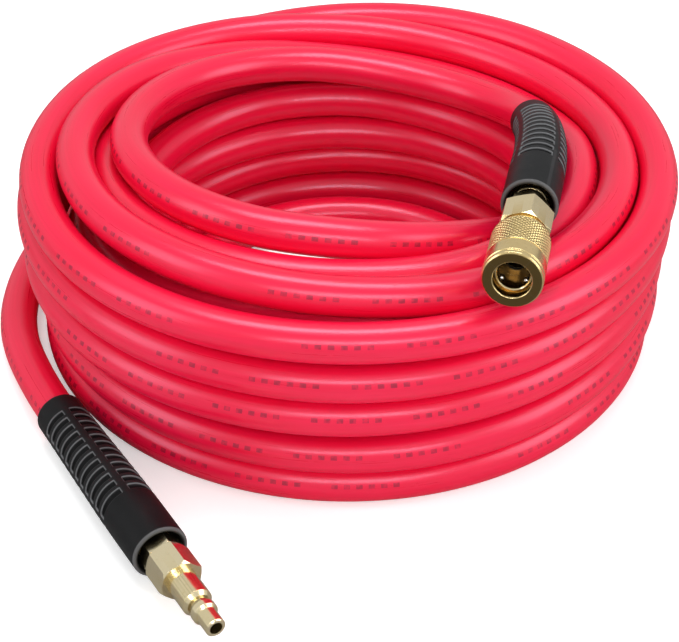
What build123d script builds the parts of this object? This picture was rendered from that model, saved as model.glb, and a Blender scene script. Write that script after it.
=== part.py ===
from build123d import *
import os
from math import sin, cos, tan, radians, sqrt
import numpy as np

# Coiled compressed-air hose: 3/8 in bore rubber hose laid in a three-column
# coil, a moulded bend restrictor at each end, a quick coupler (socket) on the
# upper end and an industrial-profile plug on the lower, loose end.
# Millimetres.  +Z is up; the coil lies on the plane Z = 0, its axis parallel
# to Z.  The origin is the centre of the footprint.
#
# Each end fitting is modelled along +Z from the restrictor mouth (s = 0);
# s < 0 is towards the hose, "back" faces the hose and "front" faces away.
# Names ending in _S, _S0 and _S1 are such positions.

COIL_AXIS = Vector(6.80, 33.456, 0)   # coil axis in the part frame

# ---------------------------------------------------------------- dimensions
# hose
HOSE_R = 8.0            # outside of the rubber cover
BRAID_R = 6.8           # cover / reinforcement interface
TUBE_R = 5.4            # reinforcement / inner tube interface
BORE_R = 4.75

# bend restrictor, the same moulding at both ends
REST_LEN = 97.0
REST_STRAIGHT = 33.0    # stiff part over the ferrule
REST_TAIL_R = 9.8
REST_MOUTH_R = 11.3
REST_EDGE = 0.8         # chamfer at the mouth
REST_BORE_TAIL = 8.1
REST_BORE_MOUTH = 8.85
REST_RECESS_R = 9.3     # wider bore just inside the mouth
SLOT_COUNT = 12
SLOT_W = 3.2
SLOT_DEPTH = 1.15
SLOT_FIRST_S, SLOT_LAST_S = -85.0, -28.5
STRIP_W = 3.2           # plain strips between the slot panels

# where the fittings sit, relative to the coil axis
COUPLER_MOUTH = Vector(70.3, -72.4, 103.5)
COUPLER_DIR = Vector(-0.18618, -0.97702, 0.10380).normalized()
COUPLER_TAIL = Vector(80.3, 22.4, 85.5)    # restrictor tail
COUPLER_STEM_S = 1.0                       # back face of the stem hex
COUPLER_ROLL = 52                          # turn of the restrictor slots
PLUG_MOUTH = Vector(-70.0, -169.4, 12.0)
PLUG_DIR = Vector(0.494, -0.869, 0.01546).normalized()
PLUG_STEM_S = -2.7
PLUG_ROLL = 5

# stem (hose insert) and ferrule, measured from the back face of the stem hex
STEM_HEX_AF = 14.3      # AF: across flats
STEM_HEX_L = 7.0
STEM_BORE_R = 3.2
STEM_NECK_R = 4.8
STEM_ROOT_R = 4.3       # between the barbs
BARB_START = -29.0
BARB_COUNT = 5
BARB_PITCH = 4.0
BARB_LAND = 0.6
HOSE_END = -8.0
NPT_R = 6.45            # pitch radius of the 1/4 in tapered thread
NPT_END = 18.0
NPT_EDGE = 0.8
FER_R = 8.8
FER_START = -30.0
FER_END = -2.6
FER_NECK_R = 7.2
FER_EDGE = 0.4

# plug
HEX_ROLL = 17.0         # turn of every hexagon
PLUG_HEX_AF = 15.9
PLUG_S0, PLUG_HEX_S1, PLUG_BARREL_S1 = 4.3, 18.0, 32.5
PLUG_GROOVE_S1, PLUG_COLLAR_S1, PLUG_TIP_S = 34.8, 38.7, 46.2
PLUG_BARREL_R, PLUG_GROOVE_R, PLUG_COLLAR_R = 5.95, 3.95, 5.0
PLUG_NOSE_R, PLUG_BORE_R = 3.92, 2.5

# coupler back body, body and the seal between them
OVERLAP = 0.5           # turned part run back into its hexagon
HEX_AF = 19.05
BACK_S0, BACK_S1 = 9.5, 25.0
SPIGOT_R, SPIGOT_END_S = 6.6, 31.0
SEAL_S1 = 32.0
VALVE_SEAT_S = 27.0     # rear seat of the valve spring
BODY_R, BODY_END_S = 8.0, 55.8
BODY_BACK_R = 8.3
BODY_EDGE = 0.4
COLLAR_R = 9.0          # guides the sleeve
COLLAR_S0, COLLAR_S1 = 37.0, 41.0
SOCKET_R = 6.05         # lead-in ahead of the locking balls
RELIEF_R = 6.35         # ball zone behind it
LEAD_S0 = 52.5
THROAT_R = 4.05
O_GROOVE_R, O_GROOVE_S0, O_GROOVE_S1 = 5.4, 42.6, 44.4

# locking balls
BALL_COUNT = 4
BALL_S = 50.5
BALL_R = 1.5875
BALL_ORBIT = 6.61
BALL_HOLE_R = 1.62
BALL_HOLE_INNER_R = 1.47   # the hole narrows inwards to hold the ball
BALL_RAMP = 0.3            # tangent of the sleeve ramp that drives the balls
RAMP_GAP = 0.03

# sleeve, its retaining ring and its spring
SLEEVE_S0, SLEEVE_S1 = 30.0, 60.3
SLEEVE_R = 11.5
SLEEVE_BORE_R = 9.06
SLEEVE_EDGE = 0.8
BAND_S0 = 48.6          # start of the smooth front band
BALL_RING_R = 8.06      # bore that holds the balls in
RECESS_R = 9.36         # bore that lets the balls out
LIP_R, LIP_S0 = 7.15, 59.4
SPRING_SEAT_S = 47.5
RING_GROOVE_R, RING_GROOVE_S0, RING_GROOVE_S1 = 9.85, 35.85, 36.95
RING_INNER_R, RING_OUTER_R = 8.45, 9.8
RING_GAP = 3.0
FIT = 0.1               # ring to groove side

# check valve
VALVE_S0, VALVE_S1 = 36.9, 41.5
VALVE_GUIDE_R = 4.9
VALVE_BODY_R = 3.6
VALVE_BORE_R = 2.3
VALVE_PORT_R, VALVE_PORT_S = 0.85, 40.1

# Hose lay: (radius, height) of the centre line about the coil axis, every
# STATION degrees, clockwise seen from above.  Starts on the -X side; each
# row is half a turn.  The outer column climbs, the top turn steps inwards,
# the middle column goes down to the ground, a loose turn lies inside on the
# ground and the inner column climbs to the coupler end.
STATION = 30.0
FIRST_ANGLE = 180.0
GROUND_Z = 8.06         # centre line below this lies flat on the ground
COIL = [
    (144.7, 8.0), (143.7, 8.0), (139.0, 8.0), (132.4, 8.0), (126.5, 8.1), (124.9, 8.1),
    (124.6, 8.0), (124.4, 8.0), (124.3, 8.0), (124.3, 8.0), (124.3, 8.0), (124.6, 8.0),
    (124.8, 8.0), (125.3, 10.7), (126.3, 18.9), (128.3, 25.0), (128.6, 28.3), (127.7, 29.6),
    (127.5, 28.7), (127.4, 27.1), (127.2, 25.7), (126.8, 24.8), (125.9, 24.7), (125.4, 24.8),
    (126.0, 25.6), (130.8, 27.9), (136.3, 33.1), (136.3, 40.4), (132.8, 46.0), (130.0, 46.7),
    (128.2, 45.5), (128.0, 44.8), (128.5, 44.8), (129.2, 45.2), (130.0, 45.7), (130.5, 46.2),
    (130.9, 47.0), (131.6, 49.8), (132.3, 54.7), (132.7, 60.1), (132.7, 64.1), (132.0, 64.6),
    (130.1, 63.8), (129.8, 63.3), (130.2, 62.6), (130.7, 62.6), (131.1, 63.6), (131.5, 64.7),
    (132.1, 66.0), (133.5, 67.9), (134.3, 71.6), (133.0, 76.8), (131.0, 80.7), (131.2, 81.4),
    (131.1, 80.6), (131.2, 80.1), (131.2, 80.6), (130.9, 81.1), (130.7, 81.2), (130.3, 81.4),
    (129.1, 82.5), (126.4, 83.0), (121.2, 82.0), (116.4, 79.4), (114.6, 77.7), (114.7, 78.7),
    (114.4, 81.8), (115.0, 84.5), (115.4, 86.3), (114.4, 90.6), (114.0, 92.9), (114.1, 92.4),
    (113.2, 90.0), (109.9, 86.0), (104.8, 78.8), (101.3, 71.3), (101.0, 67.9), (100.4, 70.0),
    (97.9, 78.7), (98.6, 81.5), (98.8, 84.6), (98.1, 86.7), (98.5, 86.5), (99.7, 83.9),
    (101.5, 78.0), (106.0, 69.7), (111.5, 63.5), (115.0, 60.8), (116.4, 60.3), (115.5, 61.7),
    (112.3, 65.2), (109.4, 68.8), (108.5, 70.9), (107.3, 72.1), (107.7, 68.7), (108.5, 63.1),
    (108.6, 57.7), (107.6, 52.2), (106.4, 47.5), (104.9, 47.4), (103.3, 50.0), (101.8, 52.1),
    (100.5, 53.3), (101.1, 54.2), (103.1, 54.7), (105.8, 53.7), (108.4, 50.2), (111.2, 45.6),
    (114.5, 41.8), (118.3, 39.3), (120.4, 38.4), (119.5, 39.3), (117.0, 40.4), (114.3, 40.9),
    (112.0, 41.2), (111.7, 41.2), (112.1, 40.5), (112.0, 38.2), (110.8, 33.6), (109.2, 29.0),
    (109.1, 25.9), (110.1, 24.7), (110.6, 24.8), (111.2, 24.7), (111.5, 24.6), (111.4, 24.4),
    (111.3, 24.4), (110.9, 24.4), (110.6, 23.9), (110.4, 21.5), (109.6, 16.9), (108.4, 12.2),
    (108.0, 9.1), (108.8, 8.0), (109.7, 8.0), (109.7, 8.0), (109.0, 8.0), (108.2, 8.0),
    (107.9, 8.0), (107.5, 8.0), (105.1, 8.0), (100.4, 8.0), (95.4, 8.0), (92.2, 8.0),
    (91.3, 8.0), (92.0, 8.0), (93.0, 8.0), (93.0, 8.0), (92.3, 8.0), (91.4, 8.0),
    (91.1, 8.0), (90.7, 8.0), (88.3, 8.0), (83.7, 8.0), (77.7, 8.0), (74.9, 8.0),
    (73.7, 8.0), (72.1, 8.0), (70.2, 8.0), (69.0, 8.0), (69.6, 8.0), (70.8, 8.0),
    (71.9, 8.0), (72.1, 8.0), (71.6, 11.5), (73.1, 21.1), (80.6, 25.4), (88.4, 24.9),
    (92.2, 24.7), (93.3, 24.7), (93.8, 24.7), (94.5, 24.7), (94.8, 24.6), (94.7, 24.4),
    (94.5, 24.4), (94.1, 25.0), (93.9, 27.7), (94.0, 32.3), (94.4, 37.1), (94.8, 40.4),
    (94.4, 41.3), (93.3, 41.5), (90.8, 41.2), (89.6, 40.7), (89.5, 40.5), (89.7, 40.5),
    (89.8, 40.5), (90.4, 41.3), (90.2, 44.0), (89.9, 48.5), (90.6, 53.4), (91.4, 56.8),
    (91.7, 57.9), (92.0, 58.2), (92.6, 57.9), (91.2, 57.4), (88.1, 57.2), (87.0, 59.9),
    (85.5, 66.3), (83.6, 73.0), (82.1, 86.4), (84.5, 96.4), (86.9, 98.6), (89.1, 96.9),
    (91.4, 92.4), (91.2, 87.2), (88.4, 82.3), (85.7, 77.5),
]


# ------------------------------------------------------------------- helpers
def save(name, shape):
    """Write one piece, moved from the coil axis to the part frame."""
    shape = shape.moved(Location(COIL_AXIS))
    shape.label = name
    export_step(shape, f"parts/{name}.step")


def turned(outline):
    """Solid of revolution about Z from (radius, s) corners."""
    corners = [(r, 0, s) for r, s in outline]
    return revolve(make_face(Polyline(*corners, close=True)), Axis.Z, 360)


def hexagon(across_flats, s0, s1, chamfer_scale=1.0):
    """Hexagonal prism along Z with turned chamfers, 30 degrees at scale 1."""
    corner_r = across_flats / sqrt(3)
    face_r = across_flats / 2 + 0.15
    chamfer = ((corner_r - face_r) * tan(radians(30)) + 0.02) * chamfer_scale
    barrel_r = corner_r + 0.05
    prism = Pos(0, 0, s0) * extrude(
        Rot(0, 0, HEX_ROLL) * RegularPolygon(corner_r, 6, major_radius=True), s1 - s0)
    barrel = turned([(0, s0), (face_r, s0), (barrel_r, s0 + chamfer),
                     (barrel_r, s1 - chamfer), (face_r, s1), (0, s1)])
    return prism & barrel


def frame(origin, direction):
    """Frame with Z along the direction and Y as upright as it can be."""
    x_dir = direction.cross(Vector(0, 0, 1)).normalized() * -1
    return Plane(origin=origin, x_dir=x_dir, z_dir=direction)


def as_np(vector):
    return np.array([vector.X, vector.Y, vector.Z])


# --------------------------------------------------------- hose centre line
def line(start, end):
    return Line(Vector(*start), Vector(*end)).edge()


def arc(start, start_dir, end):
    """Arc (a straight line when aligned) and its direction at the end."""
    chord = end - start
    if (chord / np.linalg.norm(chord)) @ start_dir > 1 - 1e-10:
        return line(start, end), start_dir
    edge = Edge.make_tangent_arc(Vector(*start), Vector(*start_dir), Vector(*end))
    return edge, as_np(edge.tangent_at(1))


def biarc(start, start_dir, end, end_dir):
    """Two arcs joined smoothly, with the given directions at both ends."""
    chord = end - start
    # the equal tangent length of both arcs solves a quadratic
    a = 2 * (1 - start_dir @ end_dir)
    b = 2 * (chord @ (start_dir + end_dir))
    c = -(chord @ chord)
    length = (-b + sqrt(b * b - 4 * a * c)) / (2 * a) if a > 1e-9 else -c / b
    middle = (start + end) / 2 + (start_dir - end_dir) * length / 2
    first, middle_dir = arc(start, start_dir, middle)
    second, _ = arc(middle, middle_dir, end)
    return [first, second]


def hermite(start, start_dir, end, end_dir, u, stiffness):
    """Point and direction at u (0 to 1) on a cubic Hermite curve."""
    speed = np.linalg.norm(end - start) * stiffness
    point = ((2*u**3 - 3*u**2 + 1) * start + (u**3 - 2*u**2 + u) * speed * start_dir
             + (3*u**2 - 2*u**3) * end + (u**3 - u**2) * speed * end_dir)
    slope = ((6*u**2 - 6*u) * start + (3*u**2 - 4*u + 1) * speed * start_dir
             + (6*u - 6*u**2) * end + (3*u**2 - 2*u) * speed * end_dir)
    return point, slope / np.linalg.norm(slope)


def station(i):
    """Point and direction of the hose at row i of COIL."""
    angle = radians(FIRST_ANGLE - STATION * i)
    radius, height = COIL[i]
    before, after = max(i - 1, 0), min(i + 1, len(COIL) - 1)
    span = radians(STATION) * (after - before)
    d_radius = (COIL[after][0] - COIL[before][0]) / span
    d_height = (COIL[after][1] - COIL[before][1]) / span
    if height < GROUND_Z:
        d_height = 0.0
    point = np.array([radius * cos(angle), radius * sin(angle), height])
    slope = np.array([d_radius * cos(angle) + radius * sin(angle),
                      d_radius * sin(angle) - radius * cos(angle), d_height])
    return point, slope / np.linalg.norm(slope)


coupler_mouth, coupler_dir, coupler_tail = map(
    as_np, (COUPLER_MOUTH, COUPLER_DIR, COUPLER_TAIL))
coupler_bend = coupler_mouth - REST_STRAIGHT * coupler_dir
coupler_hose_end = coupler_mouth + (COUPLER_STEM_S + HOSE_END) * coupler_dir
# traced back from the straight part to find the direction at the tail
_, back_dir = arc(coupler_bend, -coupler_dir, coupler_tail)
coupler_tail_dir = -back_dir
coupler_spine, _ = arc(coupler_tail, coupler_tail_dir, coupler_bend)

plug_mouth, plug_dir = as_np(PLUG_MOUTH), as_np(PLUG_DIR)
plug_tail = plug_mouth - REST_LEN * plug_dir
plug_bend = plug_mouth - REST_STRAIGHT * plug_dir
plug_hose_end = plug_mouth + (PLUG_STEM_S + HOSE_END) * plug_dir
plug_spine = line(plug_tail, plug_bend)


def hose_path():
    """Wire from the plug end, round the coil, to the coupler end."""
    nodes = [(plug_tail, -plug_dir)] + [station(i) for i in range(len(COIL))]
    coil_end = nodes[-1]
    tail = (coupler_tail, coupler_tail_dir)
    nodes += [hermite(*coil_end, *tail, u, 1.15) for u in (1 / 3, 2 / 3)]
    nodes.append(tail)
    edges = [line(plug_hose_end, plug_tail)]
    for node, following in zip(nodes[:-1], nodes[1:]):
        edges += biarc(*node, *following)
    edges += [coupler_spine, line(coupler_bend, coupler_hose_end)]
    return Wire(edges)


def save_hose():
    path = hose_path()
    start = Plane(origin=Vector(*plug_hose_end), z_dir=Vector(*(-plug_dir)))
    for name, outer, inner in (("hose_cover", HOSE_R, BRAID_R),
                               ("hose_braid", BRAID_R, TUBE_R),
                               ("hose_inner_tube", TUBE_R, BORE_R)):
        save(name, sweep(start * (Circle(outer) - Circle(inner)), path=path))


# -------------------------------------------------------------- end fittings
def ferrule():
    return turned([
        (HOSE_R, FER_START), (HOSE_R, HOSE_END), (STEM_NECK_R, HOSE_END),
        (STEM_NECK_R, FER_END), (FER_NECK_R - FER_EDGE, FER_END),
        (FER_NECK_R, FER_END - FER_EDGE), (FER_NECK_R, -5.2), (FER_R, -7.0),
        (FER_R, FER_START + FER_EDGE), (FER_R - FER_EDGE, FER_START)])


def stem():
    outline = [(STEM_BORE_R, BARB_START), (3.9, BARB_START)]
    for i in range(BARB_COUNT):
        crest = BARB_START + 1.5 + BARB_PITCH * i
        outline += [(BORE_R, crest), (BORE_R, crest + BARB_LAND),
                    (STEM_ROOT_R, crest + BARB_LAND)]
    outline += [(STEM_ROOT_R, HOSE_END), (STEM_NECK_R, HOSE_END),
                (STEM_NECK_R, 0.0), (STEM_BORE_R, 0.0)]
    shank = turned(outline)
    nut = hexagon(STEM_HEX_AF, 0, STEM_HEX_L)
    nut -= turned([(0, -1), (STEM_BORE_R, -1), (STEM_BORE_R, 9), (0, 9)])
    thread = turned([
        (STEM_BORE_R, STEM_HEX_L), (NPT_R, STEM_HEX_L), (NPT_R, NPT_END - NPT_EDGE),
        (NPT_R - NPT_EDGE, NPT_END), (STEM_BORE_R, NPT_END)])
    return shank + nut + thread


def slot_cutter(radius, roll):
    """One transverse slot in four panels, with plain strips between them."""
    slot = extrude(Circle(radius + 2) - Circle(radius - SLOT_DEPTH), SLOT_W / 2, both=True)
    for angle in (0, 90):
        slot -= Rot(0, 0, angle) * Box(2 * radius + 10, STRIP_W, SLOT_W + 1)
    return Rot(0, 0, roll) * slot


def restrictor(tail, tail_dir, bend, mouth, mouth_dir, spine, roll):
    """Tapered moulding: swept from tail to bend, straight on to the mouth."""
    def ring(point, direction, radius):
        return Plane(origin=point, z_dir=direction) * Circle(radius)

    body = sweep([ring(tail, tail_dir, REST_TAIL_R), ring(bend, mouth_dir, REST_MOUTH_R)],
                 path=spine, multisection=True)
    bore = sweep(ring(tail, tail_dir, REST_BORE_TAIL), path=spine)
    mouth_frame = frame(mouth, mouth_dir)
    body += mouth_frame * turned([
        (0, -REST_STRAIGHT), (REST_MOUTH_R, -REST_STRAIGHT), (REST_MOUTH_R, -REST_EDGE),
        (REST_MOUTH_R - REST_EDGE, 0), (0, 0)])
    bore += mouth_frame * turned([
        (0, -REST_STRAIGHT), (REST_BORE_MOUTH, -REST_STRAIGHT), (REST_BORE_MOUTH, -9),
        (REST_RECESS_R, -8), (REST_RECESS_R, -1), (REST_RECESS_R + 0.5, 0.5), (0, 0.5)])
    body = body - bore
    for i in range(SLOT_COUNT):
        s = SLOT_FIRST_S + (SLOT_LAST_S - SLOT_FIRST_S) * i / (SLOT_COUNT - 1)
        if s < -REST_STRAIGHT:
            u = (spine.length + s + REST_STRAIGHT) / spine.length
            point, direction = spine.position_at(u), spine.tangent_at(u)
            radius = REST_TAIL_R + (REST_MOUTH_R - REST_TAIL_R) * u
        else:
            point, direction = mouth + mouth_dir * s, mouth_dir
            radius = REST_MOUTH_R
        body = body - frame(point, direction) * slot_cutter(radius, roll)
    return body


def air_plug():
    plug = hexagon(PLUG_HEX_AF, PLUG_S0, PLUG_HEX_S1, 1.6)
    plug += turned([
        (0, PLUG_HEX_S1 - OVERLAP), (PLUG_BARREL_R, PLUG_HEX_S1 - OVERLAP),
        (PLUG_BARREL_R, PLUG_BARREL_S1 - 1.6), (PLUG_BARREL_R - 1.3, PLUG_BARREL_S1),
        (PLUG_GROOVE_R, PLUG_BARREL_S1), (PLUG_GROOVE_R, PLUG_GROOVE_S1),
        (PLUG_COLLAR_R - 0.5, PLUG_GROOVE_S1), (PLUG_COLLAR_R, PLUG_GROOVE_S1 + 0.5),
        (PLUG_COLLAR_R, PLUG_COLLAR_S1 - 1.0), (PLUG_NOSE_R, PLUG_COLLAR_S1),
        (PLUG_NOSE_R, PLUG_TIP_S - 0.5), (PLUG_NOSE_R - 0.5, PLUG_TIP_S), (0, PLUG_TIP_S)])
    thread_end = PLUG_STEM_S + NPT_END
    plug -= turned([
        (0, PLUG_S0 - 1), (NPT_R + 1.0, PLUG_S0 - 0.01), (NPT_R, PLUG_S0 + 1.0),
        (NPT_R, thread_end + 0.4), (PLUG_BORE_R, thread_end + 3.5),
        (PLUG_BORE_R, PLUG_TIP_S + 1), (0, PLUG_TIP_S + 1)])
    return plug


# ------------------------------------------------------------------- coupler
def back_body():
    back = hexagon(HEX_AF, BACK_S0, BACK_S1)
    back += turned([(0, BACK_S1 - OVERLAP), (SPIGOT_R, BACK_S1 - OVERLAP),
                    (SPIGOT_R, SPIGOT_END_S), (0, SPIGOT_END_S)])
    back -= turned([
        (0, BACK_S0 - 1), (NPT_R + 1.0, BACK_S0 - 0.01), (NPT_R, BACK_S0 + 1.0),
        (NPT_R, 20.5), (3.75, 22.5), (3.75, VALVE_SEAT_S), (5.0, VALVE_SEAT_S),
        (5.0, SPIGOT_END_S + 1), (0, SPIGOT_END_S + 1)])
    return back


def ball_hole():
    """Radial hole along X, its inner end tapered."""
    align = (Align.CENTER, Align.CENTER, Align.MIN)
    taper = Cone(BALL_HOLE_INNER_R, BALL_HOLE_R, 0.9, align=align)
    hole = Pos(5.7, 0, 0) * (Rot(0, 90, 0) * taper)
    hole += Pos(6.6, 0, 0) * (Rot(0, 90, 0) * Cylinder(BALL_HOLE_R, 2.0, align=align))
    return hole


ball_angles = [45 + 360 / BALL_COUNT * i for i in range(BALL_COUNT)]


def coupler_body():
    body = turned([
        # outside, back to front
        (SPIGOT_R, BACK_S1), (BODY_BACK_R, BACK_S1), (BODY_BACK_R, COLLAR_S0),
        (COLLAR_R, COLLAR_S0), (COLLAR_R, COLLAR_S1), (BODY_R, COLLAR_S1),
        (BODY_R, BODY_END_S - BODY_EDGE), (BODY_R - BODY_EDGE, BODY_END_S),
        # bore, front to back
        (SOCKET_R + BODY_EDGE, BODY_END_S), (SOCKET_R, BODY_END_S - BODY_EDGE),
        (SOCKET_R, LEAD_S0), (RELIEF_R, LEAD_S0), (RELIEF_R, 45.0), (THROAT_R, 45.0),
        (THROAT_R, O_GROOVE_S1), (O_GROOVE_R, O_GROOVE_S1), (O_GROOVE_R, O_GROOVE_S0),
        (THROAT_R, O_GROOVE_S0), (THROAT_R, 39.5), (5.6, 39.5), (5.6, SEAL_S1),
        (SPIGOT_R, SEAL_S1)])
    for angle in ball_angles:
        body -= Pos(0, 0, BALL_S) * (Rot(0, 0, angle) * ball_hole())
    return body


def body_seal():
    return turned([(5.2, SPIGOT_END_S), (SPIGOT_R, SPIGOT_END_S),
                   (SPIGOT_R, SEAL_S1), (5.2, SEAL_S1)])


def coupler_sleeve():
    """Release sleeve: bore on the collar, ramp over the balls, thin front lip."""
    # radius of the ramp level with the ball centres
    ramp_r = BALL_ORBIT + BALL_R * sqrt(1 + BALL_RAMP ** 2) + RAMP_GAP
    ramp_s0 = BALL_S + (BALL_RING_R - ramp_r) / BALL_RAMP
    ramp_s1 = BALL_S + (RECESS_R - ramp_r) / BALL_RAMP
    grip_r = SLEEVE_R - 0.1
    edge_r = SLEEVE_R - SLEEVE_EDGE
    return turned([
        # outside, back to front
        (SLEEVE_BORE_R, SLEEVE_S0), (edge_r, SLEEVE_S0), (grip_r, SLEEVE_S0 + 0.7),
        (grip_r, BAND_S0 - 0.6), (SLEEVE_R - 0.6, BAND_S0 - 0.6), (SLEEVE_R - 0.6, BAND_S0),
        (SLEEVE_R, BAND_S0 + 0.4), (SLEEVE_R, SLEEVE_S1 - 3.4),
        (SLEEVE_R - 0.45, SLEEVE_S1 - 3.0), (SLEEVE_R - 0.45, SLEEVE_S1 - 2.6),
        (grip_r, SLEEVE_S1 - 2.3), (grip_r, SLEEVE_S1 - 0.7), (edge_r, SLEEVE_S1),
        # bore, front to back
        (LIP_R + 0.3, SLEEVE_S1), (LIP_R, SLEEVE_S1 - 0.3), (LIP_R, LIP_S0),
        (RECESS_R, LIP_S0), (RECESS_R, ramp_s1), (BALL_RING_R, ramp_s0),
        (BALL_RING_R, SPRING_SEAT_S), (SLEEVE_BORE_R, SPRING_SEAT_S),
        (SLEEVE_BORE_R, RING_GROOVE_S1), (RING_GROOVE_R, RING_GROOVE_S1),
        (RING_GROOVE_R, RING_GROOVE_S0), (SLEEVE_BORE_R, RING_GROOVE_S0)])


def retaining_ring():
    """Split ring in the sleeve groove, stops the sleeve on the body collar."""
    s0, s1 = RING_GROOVE_S0 + FIT, RING_GROOVE_S1 - FIT
    ring = turned([(RING_INNER_R, s0), (RING_OUTER_R, s0),
                   (RING_OUTER_R, s1), (RING_INNER_R, s1)])
    ring -= Pos(9.2, 0, (s0 + s1) / 2) * Box(4, RING_GAP, 2)
    return ring


def spring(mean_r, wire_r, s0, s1, turns, gap=0.02):
    """Open coil between two seats, with a small gap at each."""
    height = (s1 - s0) - 2 * wire_r - 2 * gap
    path = Helix(pitch=height / turns, height=height, radius=mean_r)
    section = Plane(origin=path @ 0, z_dir=path % 0) * Circle(wire_r)
    return Pos(0, 0, s0 + wire_r + gap) * sweep(section, path=path, is_frenet=True)


def check_valve():
    """Cup open to the front, with cross ports and a guide flange at the back."""
    valve = turned([
        (0, VALVE_S0), (3.2, VALVE_S0), (VALVE_GUIDE_R, 37.2), (VALVE_GUIDE_R, 38.2),
        (VALVE_BODY_R, 38.2), (VALVE_BODY_R, VALVE_S1 - 0.3), (VALVE_BODY_R - 0.3, VALVE_S1),
        (VALVE_BORE_R, VALVE_S1), (VALVE_BORE_R, 38.9), (0, 38.9)])
    for angle in (0, 90):
        port = Rot(0, 0, angle) * (Rot(0, 90, 0) * Cylinder(VALVE_PORT_R, 12))
        valve -= Pos(0, 0, VALVE_PORT_S) * port
    return valve


# --------------------------------------------------------------------- build
os.makedirs("parts", exist_ok=True)
save_hose()

coupler_frame = frame(COUPLER_MOUTH, COUPLER_DIR)
plug_frame = frame(PLUG_MOUTH, PLUG_DIR)
save("coupler_end_bend_restrictor", restrictor(
    COUPLER_TAIL, Vector(*coupler_tail_dir), Vector(*coupler_bend),
    COUPLER_MOUTH, COUPLER_DIR, coupler_spine, COUPLER_ROLL))
save("plug_end_bend_restrictor", restrictor(
    Vector(*plug_tail), PLUG_DIR, Vector(*plug_bend),
    PLUG_MOUTH, PLUG_DIR, plug_spine, PLUG_ROLL))
for end, end_frame, stem_s in (("coupler_end", coupler_frame, COUPLER_STEM_S),
                               ("plug_end", plug_frame, PLUG_STEM_S)):
    save(end + "_ferrule", end_frame * (Pos(0, 0, stem_s) * ferrule()))
    save(end + "_stem", end_frame * (Pos(0, 0, stem_s) * stem()))
save("air_plug", plug_frame * air_plug())

o_ring_s = (O_GROOVE_S0 + O_GROOVE_S1) / 2
for name, shape in (
    ("coupler_back_body", back_body()),
    ("coupler_body", coupler_body()),
    ("body_seal", body_seal()),
    ("socket_seal", Pos(0, 0, o_ring_s) * Torus(4.62, 0.74)),
    ("coupler_sleeve", coupler_sleeve()),
    ("sleeve_retaining_ring", retaining_ring()),
    ("sleeve_spring", spring(8.53, 0.32, COLLAR_S1, SPRING_SEAT_S, turns=3.5)),
    ("valve_spring", spring(4.38, 0.33, VALVE_SEAT_S, VALVE_S0, turns=5)),
    ("check_valve", check_valve()),
    ("valve_seal", Pos(0, 0, 38.84) * Torus(4.22, 0.6)),
):
    save(name, coupler_frame * shape)
for i, angle in enumerate(ball_angles, start=1):
    ball = Rot(0, 0, angle) * Pos(BALL_ORBIT, 0, BALL_S) * Sphere(BALL_R)
    save(f"locking_ball_{i}", coupler_frame * ball)
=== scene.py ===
"""Coiled compressed-air hose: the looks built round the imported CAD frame.

The coil lies on the floor (z = 0) round a vertical axis. Its lower end runs out to the front
left and carries an air plug; its upper end lies over the coil and carries a coupler with a
knurled release sleeve. Front is -Y and up is +Z.
Geometry is in coil coordinates: millimetres from the foot of the coil's axis. The stage and
the shaders are in metres. Along a fitting, s is measured from the front end of its bend
restrictor, positive away from the hose.
"""
import math
import bpy
import numpy as np
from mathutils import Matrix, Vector


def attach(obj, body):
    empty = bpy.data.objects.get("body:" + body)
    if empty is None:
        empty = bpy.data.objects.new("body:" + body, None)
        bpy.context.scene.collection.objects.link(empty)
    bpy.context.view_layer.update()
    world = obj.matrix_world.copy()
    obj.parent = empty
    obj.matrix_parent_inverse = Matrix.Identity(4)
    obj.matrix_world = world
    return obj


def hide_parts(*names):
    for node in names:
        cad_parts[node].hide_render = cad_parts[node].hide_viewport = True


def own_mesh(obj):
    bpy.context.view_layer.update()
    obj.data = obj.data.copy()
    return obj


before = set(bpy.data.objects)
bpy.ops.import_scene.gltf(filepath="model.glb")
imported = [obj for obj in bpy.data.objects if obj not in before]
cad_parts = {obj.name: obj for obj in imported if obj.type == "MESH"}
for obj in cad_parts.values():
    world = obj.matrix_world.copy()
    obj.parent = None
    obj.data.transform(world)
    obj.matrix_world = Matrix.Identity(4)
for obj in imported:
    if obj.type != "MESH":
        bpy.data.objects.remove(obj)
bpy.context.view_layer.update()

COIL_AXIS = np.array([6.80, 33.456, 0.0])     # foot of the coil's axis in the CAD frame
UP = np.array([0.0, 0.0, 1.0])

# Hose centre line, clockwise from above, one station each 30 degrees starting on the -X side.
STATION_ANGLE, FIRST_ANGLE = 30.0, 180.0
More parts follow.
